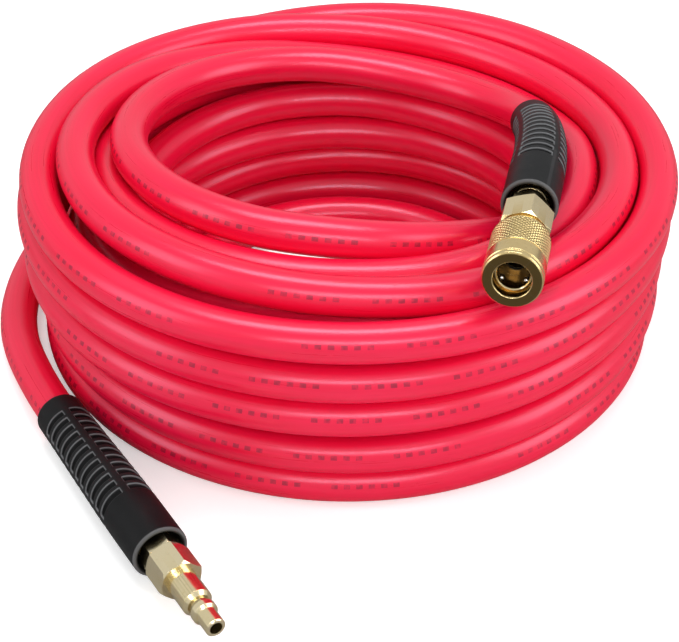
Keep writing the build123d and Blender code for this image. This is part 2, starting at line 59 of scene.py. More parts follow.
# (radius from the coil's axis, height)
COIL = [
    (144.7, 8.0), (143.7, 8.0), (139.0, 8.0), (132.4, 8.0), (126.5, 8.1), (124.9, 8.1),
    (124.6, 8.0), (124.4, 8.0), (124.3, 8.0), (124.3, 8.0), (124.3, 8.0), (124.6, 8.0),
    (124.8, 8.0), (125.3, 10.7), (126.3, 18.9), (128.3, 25.0), (128.6, 28.3), (127.7, 29.6),
    (127.5, 28.7), (127.4, 27.1), (127.2, 25.7), (126.8, 24.8), (125.9, 24.7), (125.4, 24.8),
    (126.0, 25.6), (130.8, 27.9), (136.3, 33.1), (136.3, 40.4), (132.8, 46.0), (130.0, 46.7),
    (128.2, 45.5), (128.0, 44.8), (128.5, 44.8), (129.2, 45.2), (130.0, 45.7), (130.5, 46.2),
    (130.9, 47.0), (131.6, 49.8), (132.3, 54.7), (132.7, 60.1), (132.7, 64.1), (132.0, 64.6),
    (130.1, 63.8), (129.8, 63.3), (130.2, 62.6), (130.7, 62.6), (131.1, 63.6), (131.5, 64.7),
    (132.1, 66.0), (133.5, 67.9), (134.3, 71.6), (133.0, 76.8), (131.0, 80.7), (131.2, 81.4),
    (131.1, 80.6), (131.2, 80.1), (131.2, 80.6), (130.9, 81.1), (130.7, 81.2), (130.3, 81.4),
    (129.1, 82.5), (126.4, 83.0), (121.2, 82.0), (116.4, 79.4), (114.6, 77.7), (114.7, 78.7),
    (114.4, 81.8), (115.0, 84.5), (115.4, 86.3), (114.4, 90.6), (114.0, 92.9), (114.1, 92.4),
    (113.2, 90.0), (109.9, 86.0), (104.8, 78.8), (101.3, 71.3), (101.0, 67.9), (100.4, 70.0),
    (97.9, 78.7), (98.6, 81.5), (98.8, 84.6), (98.1, 86.7), (98.5, 86.5), (99.7, 83.9),
    (101.5, 78.0), (106.0, 69.7), (111.5, 63.5), (115.0, 60.8), (116.4, 60.3), (115.5, 61.7),
    (112.3, 65.2), (109.4, 68.8), (108.5, 70.9), (107.3, 72.1), (107.7, 68.7), (108.5, 63.1),
    (108.6, 57.7), (107.6, 52.2), (106.4, 47.5), (104.9, 47.4), (103.3, 50.0), (101.8, 52.1),
    (100.5, 53.3), (101.1, 54.2), (103.1, 54.7), (105.8, 53.7), (108.4, 50.2), (111.2, 45.6),
    (114.5, 41.8), (118.3, 39.3), (120.4, 38.4), (119.5, 39.3), (117.0, 40.4), (114.3, 40.9),
    (112.0, 41.2), (111.7, 41.2), (112.1, 40.5), (112.0, 38.2), (110.8, 33.6), (109.2, 29.0),
    (109.1, 25.9), (110.1, 24.7), (110.6, 24.8), (111.2, 24.7), (111.5, 24.6), (111.4, 24.4),
    (111.3, 24.4), (110.9, 24.4), (110.6, 23.9), (110.4, 21.5), (109.6, 16.9), (108.4, 12.2),
    (108.0, 9.1), (108.8, 8.0), (109.7, 8.0), (109.7, 8.0), (109.0, 8.0), (108.2, 8.0),
    (107.9, 8.0), (107.5, 8.0), (105.1, 8.0), (100.4, 8.0), (95.4, 8.0), (92.2, 8.0),
    (91.3, 8.0), (92.0, 8.0), (93.0, 8.0), (93.0, 8.0), (92.3, 8.0), (91.4, 8.0),
    (91.1, 8.0), (90.7, 8.0), (88.3, 8.0), (83.7, 8.0), (77.7, 8.0), (74.9, 8.0),
    (73.7, 8.0), (72.1, 8.0), (70.2, 8.0), (69.0, 8.0), (69.6, 8.0), (70.8, 8.0),
    (71.9, 8.0), (72.1, 8.0), (71.6, 11.5), (73.1, 21.1), (80.6, 25.4), (88.4, 24.9),
    (92.2, 24.7), (93.3, 24.7), (93.8, 24.7), (94.5, 24.7), (94.8, 24.6), (94.7, 24.4),
    (94.5, 24.4), (94.1, 25.0), (93.9, 27.7), (94.0, 32.3), (94.4, 37.1), (94.8, 40.4),
    (94.4, 41.3), (93.3, 41.5), (90.8, 41.2), (89.6, 40.7), (89.5, 40.5), (89.7, 40.5),
    (89.8, 40.5), (90.4, 41.3), (90.2, 44.0), (89.9, 48.5), (90.6, 53.4), (91.4, 56.8),
    (91.7, 57.9), (92.0, 58.2), (92.6, 57.9), (91.2, 57.4), (88.1, 57.2), (87.0, 59.9),
    (85.5, 66.3), (83.6, 73.0), (82.1, 86.4), (84.5, 96.4), (86.9, 98.6), (89.1, 96.9),
    (91.4, 92.4), (91.2, 87.2), (88.4, 82.3), (85.7, 77.5),
]


def unit(v):
    v = np.asarray(v, float)
    return v / np.linalg.norm(v)


def axes_of(directions):
    """Horizontal and upright unit vectors square to each direction."""
    directions = np.atleast_2d(directions)
    x = -np.cross(directions, UP)
    x /= np.linalg.norm(x, axis=1)[:, None]
    return x, np.cross(directions, x)


def to_world(points):
    """Coil coordinates in millimetres to world metres."""
    return (points + COIL_AXIS) / 1000.0


def smooth(x):
    x = np.clip(x, 0, 1)
    return x * x * (3 - 2 * x)


# ------------------------------------------------------- hose centre line
HOSE_R = 8.0
HOSE_STEP, END_STEP = 3.4, 8.0      # longest step in the coil and in the straight ends
RISE_STRETCH = 1.15                 # tangent length of the last rise, in chord lengths
COUPLER_MOUTH = np.array([70.3, -72.4, 103.5])
COUPLER_AXIS = unit([-0.18618, -0.97702, 0.10380])
COUPLER_TAIL = np.array([80.3, 22.4, 85.5])     # back end of the coupler's restrictor
PLUG_MOUTH = np.array([-70.0, -169.4, 12.0])
PLUG_AXIS = unit([0.494, -0.869, 0.01546])
COUPLER_STEM, PLUG_STEM = 1.0, -2.7             # where each stem is set, s
HOSE_END = -8.0                                 # hose end from the stem's place
PLUG_GRIP_LENGTH, GRIP_STRAIGHT = 97.0, 33.0    # whole restrictor, its straight front part


def arc(start, heading, end, step):
    """Points and headings on the arc from start to end, end left out, and the last heading."""
    chord = end - start
    length = np.linalg.norm(chord)
    toward = chord / length
    cosine = float(np.clip(toward @ heading, -1, 1))
    if cosine > 1 - 1e-10:
        count = max(1, int(math.ceil(length / step)))
        part = np.arange(count)[:, None] / count
        return start + chord * part, np.repeat(heading[None], count, 0), heading
    half = math.acos(cosine)
    side = unit(toward - cosine * heading)
    radius = length / (2 * math.sin(half))
    count = max(1, int(math.ceil(2 * half * radius / step)))
    turn = (2 * half * np.arange(count) / count)[:, None]
    points = start + radius * (np.sin(turn) * heading + (1 - np.cos(turn)) * side)
    headings = np.cos(turn) * heading + np.sin(turn) * side
    return points, headings, math.cos(2 * half) * heading + math.sin(2 * half) * side


def biarc(p0, t0, p1, t1, step):
    """Two arcs that join points p0 and p1 with headings t0 and t1."""
    v, t = p1 - p0, t0 + t1
    a, b, c = 2 * (1 - t0 @ t1), 2 * (v @ t), -(v @ v)
    reach = (-b + math.sqrt(b * b - 4 * a * c)) / (2 * a) if a > 1e-9 else -c / b
    middle = (p0 + p1) / 2 + (t0 - t1) * reach / 2
    first, first_headings, heading = arc(p0, t0, middle, step)
    second, second_headings, _ = arc(middle, heading, p1, step)
    return np.vstack([first, second]), np.vstack([first_headings, second_headings])


def hermite(p0, t0, p1, t1, u):
    """Point and heading at part u of a cubic from p0 to p1."""
    k = np.linalg.norm(p1 - p0) * RISE_STRETCH
    p = (2*u**3-3*u**2+1)*p0 + (u**3-2*u**2+u)*k*t0 + (3*u**2-2*u**3)*p1 + (u**3-u**2)*k*t1
    d = (6*u**2-6*u)*p0 + (3*u**2-4*u+1)*k*t0 + (6*u-6*u**2)*p1 + (3*u**2-2*u)*k*t1
    return p, unit(d)


def station(i):
    """Point and heading of the hose at a row of COIL."""
    angle = math.radians(FIRST_ANGLE - STATION_ANGLE * i)
    radius, z = COIL[i]
    before, after = max(i - 1, 0), min(i + 1, len(COIL) - 1)
    turn = math.radians(STATION_ANGLE) * (after - before)
    widen = (COIL[after][0] - COIL[before][0]) / turn
    climb = (COIL[after][1] - COIL[before][1]) / turn
    if z < HOSE_R + 0.06:           # lying on the floor
        climb = 0.0
    c, s = math.cos(angle), math.sin(angle)
    heading = unit([widen * c + radius * s, widen * s - radius * c, climb])
    return np.array([radius * c, radius * s, z]), heading


coupler_bend = COUPLER_MOUTH - GRIP_STRAIGHT * COUPLER_AXIS
coupler_tail_dir = -arc(coupler_bend, -COUPLER_AXIS, COUPLER_TAIL, 1.0)[2]
plug_tail = PLUG_MOUTH - PLUG_GRIP_LENGTH * PLUG_AXIS


def hose_line():
    """Centre line from the plug to the coupler, with its headings."""
    plug_end = PLUG_MOUTH + (PLUG_STEM + HOSE_END) * PLUG_AXIS
    coupler_end = COUPLER_MOUTH + (COUPLER_STEM + HOSE_END) * COUPLER_AXIS
    coil_end = station(len(COIL) - 1)
    path = [(plug_tail, -PLUG_AXIS)] + [station(i) for i in range(len(COIL))]
    path += [hermite(*coil_end, COUPLER_TAIL, coupler_tail_dir, u) for u in (1 / 3, 2 / 3)]
    path.append((COUPLER_TAIL, coupler_tail_dir))
    runs = [arc(plug_end, -PLUG_AXIS, plug_tail, END_STEP)[:2]]
    runs += [biarc(*a, *b, HOSE_STEP) for a, b in zip(path[:-1], path[1:])]
    runs.append(arc(COUPLER_TAIL, coupler_tail_dir, coupler_bend, HOSE_STEP)[:2])
    runs.append(arc(coupler_bend, COUPLER_AXIS, coupler_end, END_STEP)[:2])
    runs.append((coupler_end[None], COUPLER_AXIS[None]))
    return [np.vstack(column) for column in zip(*runs)]


# ------------------------------------------------------------ mesh helpers
def mesh(name, verts, faces, material, body, node, attributes=None):
    """A smooth-shaded piece of quads that rides on a CAD body and stands in for its node."""
    me = bpy.data.meshes.new(name)
    verts = to_world(np.asarray(verts, float))
    faces = np.asarray(faces, np.int32)
    me.vertices.add(len(verts))
    me.vertices.foreach_set("co", verts.astype(np.float32).ravel())
    me.loops.add(faces.size)
    me.loops.foreach_set("vertex_index", faces.ravel())
    me.polygons.add(len(faces))
    me.polygons.foreach_set("loop_start", np.arange(0, faces.size, 4, dtype=np.int32))
    me.update(calc_edges=True)
    me.validate()
    for key, values in (attributes or {}).items():
        attribute = me.attributes.new(key, "FLOAT_VECTOR", "POINT")
        attribute.data.foreach_set("vector", np.asarray(values, np.float32).ravel())
    me.polygons.foreach_set("use_smooth", np.ones(len(me.polygons), bool))
    ob = bpy.data.objects.new(name, me)
    bpy.context.scene.collection.objects.link(ob)
    me.materials.append(material)
    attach(ob, body)
    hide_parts(node)
    return ob


def angles(columns):
    return np.arange(columns) * 2 * math.pi / columns


def grid(centres, X, Y, radii, loop_rows):
    """Skin of rings: row i has radii[i] about centres[i] in the X, Y plane."""
    n, m = radii.shape
    turn = angles(m)[None, :, None]
    spokes = np.cos(turn) * X[:, None, :] + np.sin(turn) * Y[:, None, :]
    verts = centres[:, None, :] + radii[:, :, None] * spokes
    I, J = np.meshgrid(np.arange(n if loop_rows else n - 1), np.arange(m), indexing="ij")
    I2, J2 = (I + 1) % n, (J + 1) % m
    faces = np.stack([I * m + J, I * m + J2, I2 * m + J2, I2 * m + J], -1)
    return verts.reshape(-1, 3), faces.reshape(-1, 4)


# Knurled band of the release sleeve, also used by its material
TEETH = 36
SLEEVE_R = 11.5
KNURL_R = SLEEVE_R - 0.1
KNURL_START, KNURL_END = 31.1, 47.6


# ------------------------------------------------------------ materials
class Shader:
    """A material with a Principled surface, and short hand for its nodes."""

    def __init__(self, name):
        self.mat = bpy.data.materials.new(name)
        self.mat.use_nodes = True
        self.tree = self.mat.node_tree
        self.tree.nodes.clear()
        out = self.node("OutputMaterial")
        self.bsdf = self.node("BsdfPrincipled")
        self.put(out.inputs[0], self.bsdf.outputs[0])

    def node(self, kind, inputs=None, **settings):
        made = self.tree.nodes.new("ShaderNode" + kind)
        for key, value in settings.items():
            setattr(made, key, value)
        for key, value in (inputs or {}).items():
            self.put(made.inputs[key], value)
        return made

    def put(self, socket, value):
        if isinstance(value, bpy.types.NodeSocket):
            self.tree.links.new(value, socket)
        elif isinstance(value, tuple) and socket.type == "RGBA":
            socket.default_value = (*value, 1)
        else:
            socket.default_value = value

    def set(self, **inputs):
        for key, value in inputs.items():
            self.put(self.bsdf.inputs[key.replace("_", " ")], value)

    def math(self, operation, a, b=0.0):
        return self.node("Math", {0: a, 1: b}, operation=operation).outputs[0]

    def add(self, a, b):
        return self.math("ADD", a, b)

    def times(self, first, *rest):
        for factor in rest:
            first = self.math("MULTIPLY", first, factor)
        return first

    def vec(self, operation, a, b=(0, 0, 0)):
        made = self.node("VectorMath", {0: a, 1: b}, operation=operation)
        return made.outputs["Value" if operation in ("DOT_PRODUCT", "LENGTH") else 0]

    def noise(self, vector, scale, detail=3.0):
        values = {"Vector": vector, "Scale": scale, "Detail": detail, "Roughness": 0.55}
        return self.node("TexNoise", values).outputs[0]

    def ramp(self, factor, stops):
        """Grey ramp through (position, level) stops."""
        made = self.node("ValToRGB", {0: factor})
        elements = made.color_ramp.elements
        while len(elements) < len(stops):
            elements.new(0.5)
        for element, (position, level) in zip(elements, stops):
            element.position = position
            element.color = (level, level, level, 1)
        return made.outputs[0]

    def mix(self, a, b, amount):
        return self.node("Mix", {0: amount, 6: a, 7: b}, data_type="RGBA").outputs[2]

    def span(self, value, to, source=(0.3, 0.7)):
        """Map the source range to another; the default suits most of a noise."""
        inputs = dict(enumerate((value, *source, *to)))
        return self.node("MapRange", inputs).outputs[0]

    def place(self):
        return self.node("TexCoord").outputs["Object"]

    def attr(self, name):
        return self.node("Attribute", attribute_name=name).outputs["Vector"]

    def split(self, vector):
        return self.node("SeparateXYZ", {0: vector}).outputs

    def combine(self, *parts):
        return self.node("CombineXYZ", dict(enumerate(parts))).outputs[0]

    def bump(self, height, distance, strength, under=None):
        inputs = {"Height": height, "Distance": distance, "Strength": strength}
        if under is not None:
            inputs["Normal"] = under
        return self.node("Bump", inputs).outputs[0]

    def pointy(self):
        return self.node("NewGeometry").outputs["Pointiness"]


def shade(colour, factor):
    return tuple(factor * c for c in colour)


def hose_rubber():
    n = Shader("hose_rubber")
    lay = n.attr("lay")             # metres along, cosine and sine round the hose
    along, c, s = n.split(lay)
    streak = n.noise(n.vec("MULTIPLY", lay, (6.0, 2.2, 2.2)), scale=3.0, detail=4.0)
    cloud = n.noise(n.place(), scale=22.0)
    grain = n.noise(n.place(), scale=2600.0, detail=2.0)
    scratches = n.noise(n.vec("MULTIPLY", lay, (60.0, 5.0, 5.0)), scale=2.4, detail=5.0)
    scuff = n.ramp(scratches, stops=[(0.60, 0.0), (0.72, 1.0)])
    red, light_red, bloom = (0.80, 0.0024, 0.034), (0.88, 0.0042, 0.050), (0.90, 0.009, 0.072)
    base = n.mix(red, light_red, amount=n.span(streak, to=(0.0, 1.0)))
    base = n.mix(base, bloom, amount=n.span(cloud, source=(0.35, 0.75), to=(0.0, 0.35)))

    # a broken line of dashes along one side of the hose
    line_angle, line_half_width = math.radians(24), 1.15
    facing = n.add(n.times(c, math.cos(line_angle)), n.times(s, math.sin(line_angle)))
    band = n.math("GREATER_THAN", facing, math.cos(line_half_width / HOSE_R))
    dash = n.times(*[
        n.math("LESS_THAN", n.math("FRACT", n.times(along, 1 / pitch)), filled)
        for pitch, filled in ((0.0046, 0.50), (0.0368, 0.74), (0.2576, 0.84))])
    worn = n.noise(n.place(), scale=420.0, detail=2.0)
    worn = n.span(worn, source=(0.3, 0.6), to=(0.25, 1.0))
    ink_strength, ink_colour = 0.62, (0.12, 0.003, 0.014)
    ink = n.times(band, dash, worn, ink_strength)
    rough = n.span(streak, to=(0.27, 0.32))
    rough = n.add(rough, n.times(scuff, 0.05))      # scuffs and ink are duller
    rough = n.add(rough, n.times(ink, 0.12))
    streak_bump = n.bump(streak, distance=0.00010, strength=0.5)
    n.set(Base_Color=n.mix(base, ink_colour, amount=ink), Roughness=rough,
          Specular_IOR_Level=0.78, Specular_Tint=(1.0, 0.76, 1.0),
          Sheen_Roughness=0.45, Sheen_Tint=(1.0, 0.45, 0.6),
          Normal=n.bump(grain, distance=0.00004, strength=0.35, under=streak_bump))
    return n.mat


def moulded_rubber():
    n = Shader("grip_rubber")
    p = n.place()
    cloud = n.noise(p, scale=60.0, detail=4.0)
    grain = n.noise(p, scale=2400.0, detail=2.0)
    edge = n.ramp(n.pointy(), stops=[(0.50, 0.0), (0.58, 1.0)])
    black, soft_black = (0.0045, 0.0047, 0.0052), (0.0085, 0.0088, 0.0095)
    dust_grey, edge_grey = (0.06, 0.058, 0.056), (0.05, 0.05, 0.053)
    lip_highlight_grey, rim_highlight_grey = (0.17, 0.172, 0.178), (0.15, 0.148, 0.150)
    slot_shade_black = (0.0016, 0.0016, 0.0018)
    base = n.mix(black, soft_black, amount=n.span(cloud, to=(0.0, 1.0)))
    dust = n.ramp(n.noise(p, scale=350.0), stops=[(0.62, 0.0), (0.80, 1.0)])
    base = n.mix(base, dust_grey, amount=n.times(dust, 0.10))
    base = n.mix(base, edge_grey, amount=n.times(edge, 0.35))
    cut, rim, _ = n.split(n.attr("moulding"))       # slot depth and mouth rim
    # painted highlight: the slot lips and the mouth rim are drawn lighter grey
    lip = n.ramp(cut, stops=[(0.03, 0.0), (0.16, 1.0), (0.42, 1.0), (0.70, 0.0)])
    base = n.mix(base, lip_highlight_grey, amount=n.times(lip, 0.80))
    base = n.mix(base, rim_highlight_grey, amount=n.times(rim, 0.70))
    # painted shade: the deepest part of each slot goes near black
    base = n.mix(base, slot_shade_black, amount=n.span(cut, source=(0.75, 1.0), to=(0.0, 0.8)))
    cloud_bump = n.bump(cloud, distance=0.0004, strength=0.25)
    n.set(Base_Color=base, Roughness=n.span(cloud, to=(0.38, 0.52)), Specular_IOR_Level=0.15,
          Normal=n.bump(grain, distance=0.00006, strength=0.5, under=cloud_bump))
    return n.mat


def plain_rubber(name, colour, rough):
    n = Shader(name)
    p = n.place()
    cloud = n.noise(p, scale=180.0)
    grain = n.noise(p, scale=3000.0, detail=2.0)
    n.set(Base_Color=n.mix(colour, shade(colour, 1.6), amount=cloud),
          Roughness=n.span(cloud, to=(rough - 0.06, rough + 0.06)),
          Normal=n.bump(grain, distance=0.00005, strength=0.4))
    return n.mat


def knurl_masks(n, axis, across, s, r):
    """The knurled band, and its diamond grooves, from place along and off the axis."""
    zone_start, zone_end, zone_radius = 0.0312, KNURL_END / 1000, 0.0104
    x_axis, y_axis = axes_of(axis)
    rise = n.vec("DOT_PRODUCT", across, tuple(y_axis[0]))
    run = n.vec("DOT_PRODUCT", across, tuple(x_axis[0]))
    turn = n.times(n.math("ARCTAN2", rise, run), TEETH / math.pi)
    climb = n.times(s, 1000 * TEETH / KNURL_R / math.pi)
    plus, minus = [
        n.span(n.math("PINGPONG", n.math(way, turn, climb), 1.0),
               source=(0.52, 0.92), to=(0.0, 1.0))
        for way in ("ADD", "SUBTRACT")]
    zone = n.times(n.math("GREATER_THAN", s, zone_start), n.math("LESS_THAN", s, zone_end),
                   n.math("GREATER_THAN", r, zone_radius))
    plus_weight = 0.55
    return zone, n.times(n.math("MAXIMUM", minus, n.times(plus, plus_weight)), zone)


def brass(name, origin, axis, light, deep, rough=(0.13, 0.24), face=None, knurled=False,
          socket=None):
    """Turned brass: tool marks about the fitting's axis, tarnished hollows, worn edges.
    face: (least s, inner radius, outer radius) of the front face, painted dark as shade and
    made duller.
    socket: (radius, greatest s) of a shaded bore."""
    n = Shader(name)
    p = n.place()
    rel = n.vec("SUBTRACT", p, tuple(to_world(origin)))
    s = n.vec("DOT_PRODUCT", rel, tuple(axis))
    across = n.vec("SUBTRACT", rel, n.vec("MULTIPLY", n.combine(s, s, s), tuple(axis)))
    r = n.vec("LENGTH", across)
    tool = n.noise(n.combine(s, r), scale=5200.0, detail=2.0)
    cloud = n.noise(p, scale=120.0, detail=4.0)
    edge = n.pointy()
    hollow = n.ramp(edge, stops=[(0.40, 1.0), (0.495, 0.0)])
    ridge = n.ramp(edge, stops=[(0.505, 0.0), (0.57, 1.0)])
    spots = n.ramp(n.noise(p, scale=700.0, detail=4.0), stops=[(0.60, 0.0), (0.70, 1.0)])
    middle = tuple(0.5 * (a + b) for a, b in zip(light, deep))
    worn_colour, face_shade_colour, socket_colour = (
        (0.97, 0.86, 0.60), (0.115, 0.070, 0.020), (0.11, 0.060, 0.018))
    band_shade_colour, groove_shade_colour = (0.62, 0.45, 0.17), (0.055, 0.032, 0.008)
    base = n.mix(light, middle, amount=n.span(cloud, to=(0.0, 0.45)))
    base = n.mix(base, shade(deep, 0.45), amount=n.times(hollow, 0.75))
    base = n.mix(base, deep, amount=n.times(spots, 0.25))
    base = n.mix(base, worn_colour, amount=n.times(ridge, 0.5))
    dull = n.span(cloud, to=rough)
    if face is not None:
        least_s, inner, outer = (length / 1000 for length in face)
        ring = n.times(n.math("LESS_THAN", r, outer), n.math("GREATER_THAN", r, inner))
        on = n.times(n.math("GREATER_THAN", s, least_s), ring)
        # painted shade: the front face is drawn dark brown
        base = n.mix(base, face_shade_colour, amount=n.times(on, 0.93))
        dull = n.add(dull, n.times(on, 0.10))
    if knurled:                                     # painted shade: the knurled band darker, its diamond grooves near black
        zone, groove = knurl_masks(n, axis, across, s, r)
        base = n.mix(base, band_shade_colour, amount=n.times(zone, 0.45))
        base = n.mix(base, groove_shade_colour, amount=n.times(groove, 0.96))
        dull = n.add(dull, n.add(n.times(zone, 0.06), n.times(groove, 0.15)))
    if socket is not None:
        radius, greatest_s = (length / 1000 for length in socket)
        bore = n.times(n.math("LESS_THAN", r, radius), n.math("LESS_THAN", s, greatest_s))
        base = n.mix(base, socket_colour, amount=n.times(bore, 0.80))
    bevel = n.node("Bevel", {"Radius": 0.00018}, samples=4).outputs[0]
    cloud_bump = n.bump(cloud, distance=0.0001, strength=0.15, under=bevel)
    n.set(Base_Color=base, Metallic=1.0, Roughness=dull,
          Normal=n.bump(tool, distance=0.000012, strength=0.5, under=cloud_bump))
    return n.mat


def steel(name, colour, rough):
    n = Shader(name)
    p = n.place()
    cloud = n.noise(p, scale=500.0)
    grain = n.noise(p, scale=4000.0, detail=2.0)
    n.set(Base_Color=n.mix(colour, shade(colour, 0.7), amount=n.span(cloud, to=(0.0, 0.5))),
          Metallic=1.0, Roughness=n.span(cloud, to=rough),
          Normal=n.bump(grain, distance=0.00002, strength=0.3))
    return n.mat


def braid():
    n = Shader("braid_textile")
    x, y, z = n.split(n.place())
    pitch = 5200.0                  # radians of weave per metre
    a = n.math("SINE", n.times(n.add(x, z), pitch))
    b = n.math("SINE", n.times(n.math("SUBTRACT", y, z), pitch))
    weave = n.times(a, b)
    shadow, thread = (0.62, 0.60, 0.54), (0.82, 0.80, 0.75)
    n.set(Base_Color=n.mix(shadow, thread, amount=n.span(weave, source=(-1, 1), to=(0, 1))),
          Roughness=0.8, Normal=n.bump(weave, distance=0.0002, strength=0.6))
    return n.mat


M_HOSE = hose_rubber()
M_GRIP = moulded_rubber()
# painted reflection: the plug's brass is paler for the bright room it reflects, the coupler's
# and sleeve's brass deeper for the dark hose they reflect
M_COUPLER = brass("fitting_brass_upper_painted_dark", COUPLER_MOUTH, COUPLER_AXIS, light=(0.86, 0.65, 0.29),
                  deep=(0.54, 0.35, 0.11), socket=(6.5, 54.6))
M_PLUG = brass("fitting_brass_lower_painted_pale", PLUG_MOUTH, PLUG_AXIS, light=(0.97, 0.84, 0.52),
               deep=(0.66, 0.48, 0.20))
M_SLEEVE = brass("sleeve_brass", COUPLER_MOUTH, COUPLER_AXIS, light=(0.86, 0.66, 0.31),
                 deep=(0.52, 0.35, 0.12), rough=(0.18, 0.30), face=(59.9, 7.5, 10.85),
                 knurled=True, socket=(7.0, 59.0))
M_BALL = steel("ball_steel", colour=(0.80, 0.80, 0.82), rough=(0.04, 0.09))
M_SPRING = steel("spring_steel", colour=(0.62, 0.62, 0.65), rough=(0.2, 0.32))
M_SEAL = plain_rubber("seal_rubber", colour=(0.010, 0.010, 0.010), rough=0.4)
M_TUBE = plain_rubber("inner_rubber", colour=(0.015, 0.015, 0.017), rough=0.45)
M_BRAID = braid()


# ------------------------------------------------------------ the hose cover
def hose_cover():
    columns = 32
    uneven, uneven_length = 0.03, 41.0      # slight waviness of the skin
    cap_ring = 0.35                         # inner ring of the end caps, part of the radius
    line, headings = hose_line()
    along = np.concatenate([[0], np.cumsum(np.linalg.norm(np.diff(line, axis=0), axis=1))])
    ring = angles(columns)
    wave = uneven * np.sin(along / uneven_length)[:, None] * np.cos(ring - 0.7)[None]
    skin, faces = grid(line, *axes_of(headings), HOSE_R - uneven + wave, loop_rows=False)
    faces = faces.tolist()
    caps = []
    for row in (0, len(line) - 1):          # flat ends: a ring and a centre point
        first, inner = row * columns, len(skin) + len(caps)
        centre, hub = line[row], inner + columns
        caps += list(centre + cap_ring * (skin[first:first + columns] - centre)) + [centre]
        cap = [[first + j, inner + j, inner + (j + 1) % columns, first + (j + 1) % columns]
               for j in range(columns)]
        cap += [[inner + j, hub, inner + (j + 2) % columns, inner + j + 1]
                for j in range(0, columns, 2)]
        faces += cap if row == 0 else [face[::-1] for face in cap]
    verts = np.vstack([skin, np.array(caps)])
    lay = np.zeros((len(verts), 3))
    lay[:len(skin), 0] = np.repeat(along / 1000.0, columns)
    lay[:len(skin), 1] = np.tile(np.cos(ring), len(line))
    lay[:len(skin), 2] = np.tile(np.sin(ring), len(line))
    lay[len(skin) + columns + 1:, 0] = along[-1] / 1000.0
    mesh("hose_cover_skin", verts, faces, M_HOSE, "hose_assembly", "hose_cover",
         {"lay": lay})


hose_cover()

# ------------------------------------------------------------ bend restrictors
SLOT_COUNT, SLOT_FIRST, SLOT_LAST = 12, -85.0, -28.5
SLOTS = [SLOT_FIRST + (SLOT_LAST - SLOT_FIRST) * k / (SLOT_COUNT - 1)
         for k in range(SLOT_COUNT)]
SLOT_W, SLOT_DEPTH, STRIP_W = 3.2, 1.15, 3.2
SLOT_MARGIN = 0.42                  # close rows reach this far past a slot
GRIP_TAIL_R, GRIP_TAPER = 9.8, 1.5
GRIP_R = GRIP_TAIL_R + GRIP_TAPER
PANEL_R = 11.0                      # radius at which widths round the grip are measured
LIP_R, NOSE_R = 0.9, 0.95           # rounding of the back and front ends
SEAM_H, SEAM_W = 0.10, 0.4
# (s, radius) of the bore from the front end back to the hose
FRONT_BORE = [
    (-0.02, 9.75), (-0.25, 9.45), (-1.0, 9.3), (-4.5, 9.3), (-8.0, 9.3), (-8.6, 9.15),
    (-9.0, 8.85), (-20, 8.85), (-32, 8.85), (-34, 8.4),
]


